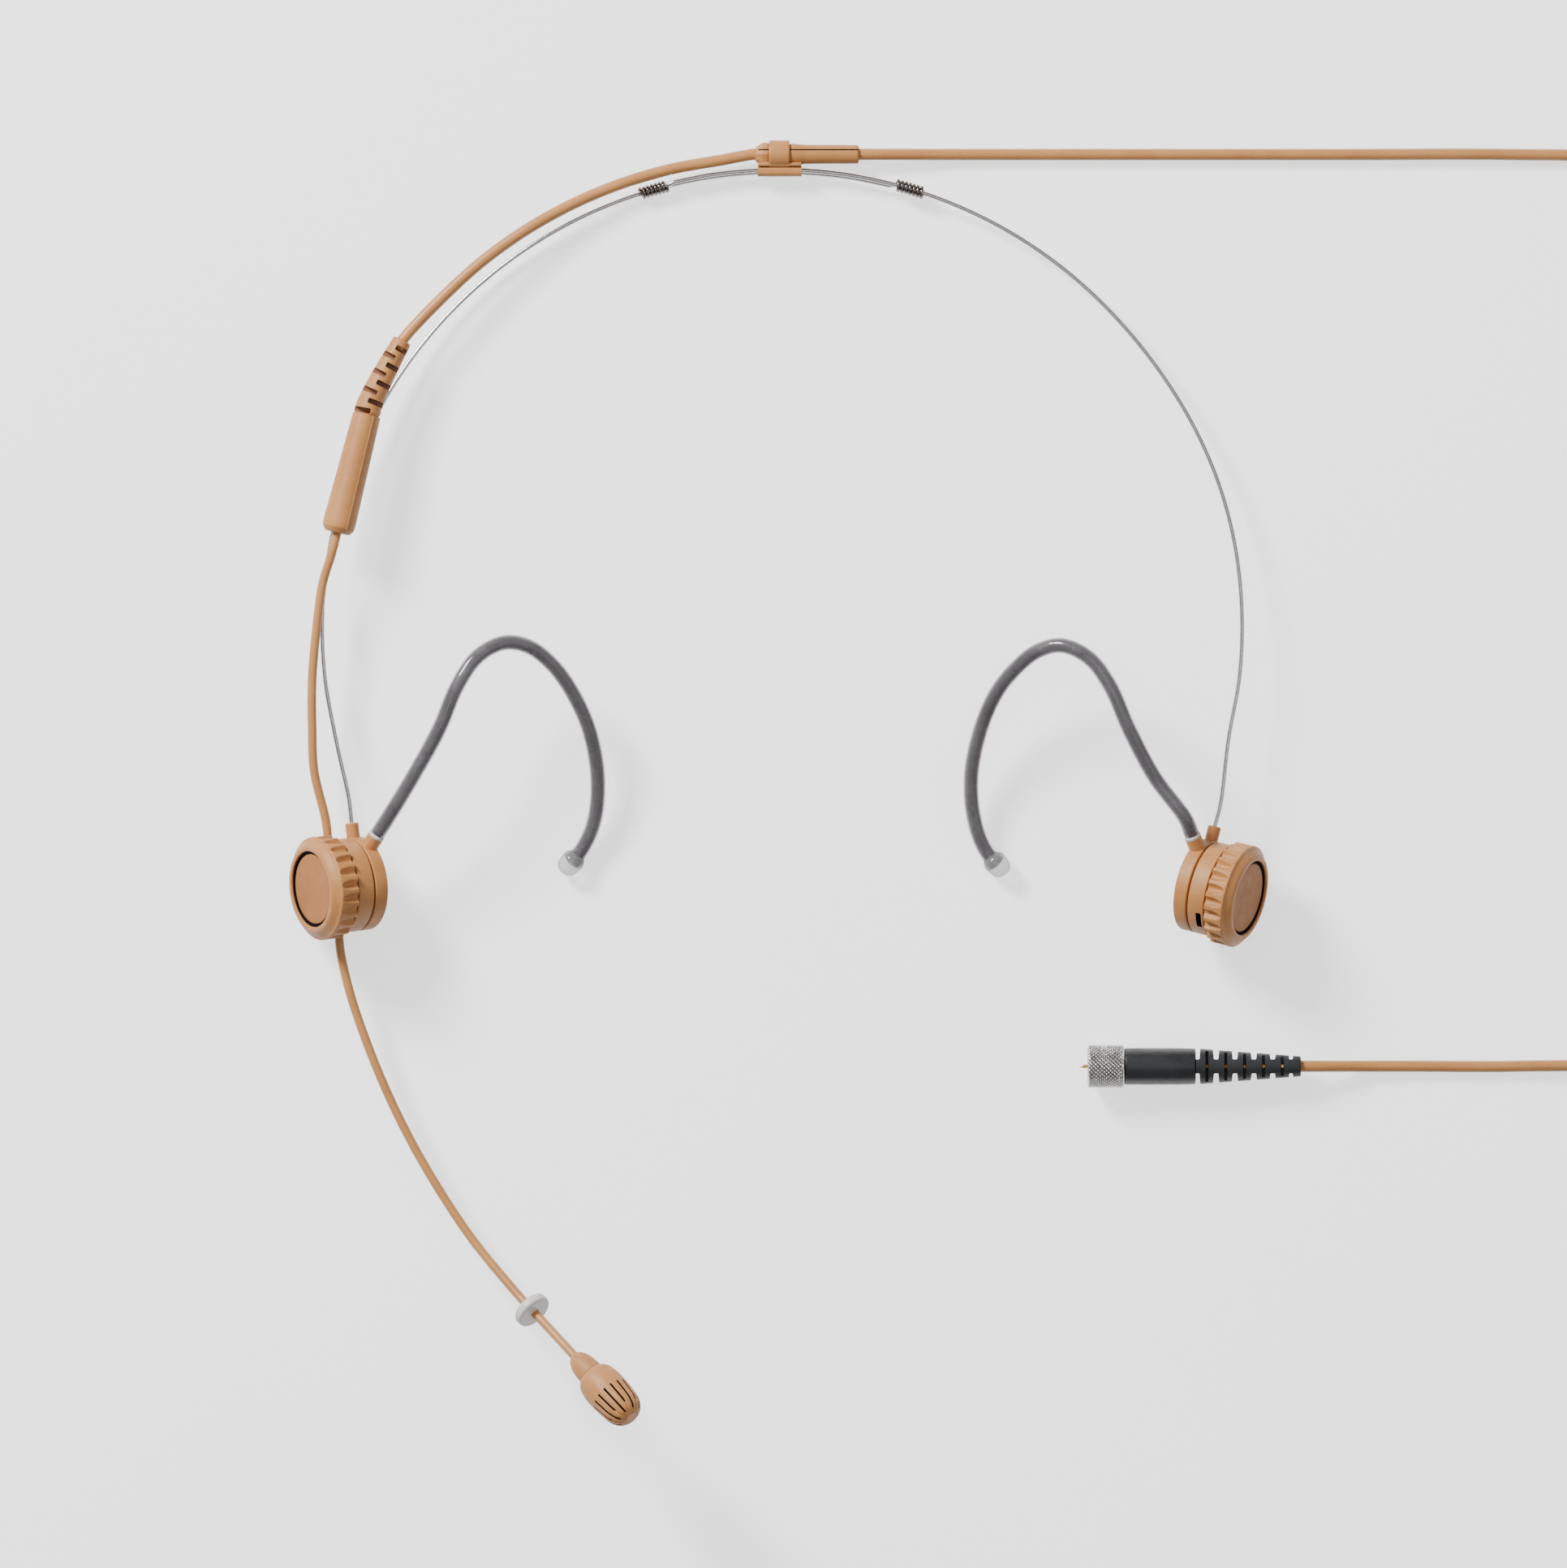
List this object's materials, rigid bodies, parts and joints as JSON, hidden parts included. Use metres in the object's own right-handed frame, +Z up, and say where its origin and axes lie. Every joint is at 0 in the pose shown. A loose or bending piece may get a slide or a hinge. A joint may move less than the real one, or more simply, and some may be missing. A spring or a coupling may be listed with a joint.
{
  "type": "headset microphone",
  "caption": "Headset microphone: sliding wire band, ear hooks on round clamp hubs, adjustable boom with a slotted capsule, and a lead with a threaded plug.",
  "frame": {"origin": "bottom centre of the headset's box without its lead", "axes": "+Y from the hubs to the top of the band, +X towards the hub without the boom, +Z up from the surface it lies on"},
  "size_m": [0.2149, 0.178, 0.0241],
  "materials": {
    "tan_plastic": "satin moulded, fine grain",
    "tan_cable": "soft jacket, slight sheen",
    "spring_steel": "drawn wire",
    "wrap_steel": "close wound wire",
    "brass": "turned",
    "black_plastic": "satin moulded",
    "black_rubber": "matt moulded",
    "grey_sleeve": "translucent tube",
    "clear_rubber": "clear soft tip",
    "white_rubber": "translucent white",
    "nickel": "knurled and plated",
    "gold_contact": "plated contact"
  },
  "bodies": {
    "left_frame": {"left_band_wire": "spring_steel", "right_wire_wrap": "wrap_steel", "left_hub_base": "tan_plastic", "left_clamp_stud": "brass", "left_spring_washer": "spring_steel", "inline_joint": "tan_plastic", "inline_core": "brass", "inline_relief": "tan_plastic", "band_cable": "tan_cable", "hub_cable": "tan_cable"},
    "boom_holder": {"left_clamp_ring": "tan_plastic", "boom_shoe": "brass"},
    "boom": {"boom_arm": "tan_cable", "mic_boot": "tan_plastic", "mic_element": "spring_steel", "element_mesh": "spring_steel"},
    "drip_ring": {"drip_ring": "white_rubber"},
    "frequency_cap": {"frequency_cap": "tan_plastic"},
    "left_hook": {"left_hook_sleeve": "grey_sleeve", "left_hook_wire": "spring_steel", "left_hook_tip": "clear_rubber"},
    "left_knob": {"left_lock_knob": "tan_plastic", "left_knob_insert": "brass", "left_knob_cap": "tan_plastic"},
    "right_frame": {"right_band_wire": "spring_steel", "left_wire_wrap": "wrap_steel", "right_hub_base": "tan_plastic", "right_clamp_stud": "brass", "right_spring_washer": "spring_steel"},
    "right_holder": {"right_clamp_ring": "tan_plastic"},
    "right_hook": {"right_hook_sleeve": "grey_sleeve", "right_hook_wire": "spring_steel", "right_hook_tip": "clear_rubber"},
    "right_knob": {"right_lock_knob": "tan_plastic", "right_knob_insert": "brass", "right_knob_cap": "tan_plastic"},
    "clip": {"clip_body": "tan_plastic", "clip_sleeve": "tan_plastic", "lead_to_coil": "tan_cable", "lead_coil": "tan_cable", "coil_tie": "black_rubber", "lead_to_connector": "tan_cable", "connector_body": "black_plastic", "connector_relief": "black_rubber", "connector_shell": "nickel", "connector_insulator": "white_rubber", "connector_pin": "gold_contact"},
    "coupling_nut": {"coupling_nut": "nickel"}
  },
  "joints": [
    {"name": "band_adjust", "type": "hinge", "parent": "left_frame", "child": "right_frame", "pos_m": [0.0001, 0.02138, 0.0018], "axis": [0, 0, 1], "range_deg": [-7, 2]},
    {"name": "clip_slide", "type": "hinge", "parent": "left_frame", "child": "clip", "pos_m": [0.0001, 0.02138, 0.0018], "axis": [0, 0, 1], "range_deg": [-3, 3], "deforming": ["band_cable"]},
    {"name": "boom_pivot", "type": "hinge", "parent": "left_frame", "child": "boom_holder", "pos_m": [-0.05729, -0.01406, 0.00565], "axis": [-0.8561, -0.0975, 0.5075], "range_deg": [0, 30], "deforming": ["hub_cable"]},
    {"name": "boom_slide", "type": "slide", "parent": "boom_holder", "child": "boom", "axis": [0.1132, -0.9936, 0], "range_m": [-0.003, 0.004]},
    {"name": "drip_ring_slide", "type": "slide", "parent": "boom", "child": "drip_ring", "axis": [0.595, -0.6292, 0.5], "range_m": [-0.0015, 0.0025]},
    {"name": "frequency_cap_pull", "type": "slide", "parent": "boom", "child": "frequency_cap", "axis": [0.595, -0.6292, 0.5], "range_m": [0, 0.008]},
    {"name": "left_hook_swivel", "type": "hinge", "parent": "left_frame", "child": "left_hook", "pos_m": [-0.05565, -0.00737, 0.0101], "axis": [0.5107, 0.7786, 0.3646], "range_deg": [-90, 0]},
    {"name": "left_knob_turn", "type": "hinge", "parent": "left_frame", "child": "left_knob", "pos_m": [-0.05729, -0.01406, 0.00565], "axis": [-0.8561, -0.0975, 0.5075], "range_deg": [0, 360]},
    {"name": "right_hook_swivel", "type": "hinge", "parent": "right_frame", "child": "right_hook", "pos_m": [0.0573, -0.00747, 0.01077], "axis": [-0.3477, 0.8273, 0.4411], "range_deg": [0, 90]},
    {"name": "right_knob_turn", "type": "hinge", "parent": "right_frame", "child": "right_knob", "pos_m": [0.05742, -0.01417, 0.00604], "axis": [0.8933, -0.2277, 0.3875], "range_deg": [0, 360]},
    {"name": "right_ring_turn", "type": "hinge", "parent": "right_frame", "child": "right_holder", "pos_m": [0.05742, -0.01417, 0.00604], "axis": [0.8933, -0.2277, 0.3875], "range_deg": [-30, 30]},
    {"name": "coupling_nut_turn", "type": "hinge", "parent": "clip", "child": "coupling_nut", "pos_m": [0.0429, -0.03952, 0.00295], "axis": [1, 0, 0], "continuous": true}
  ]
}
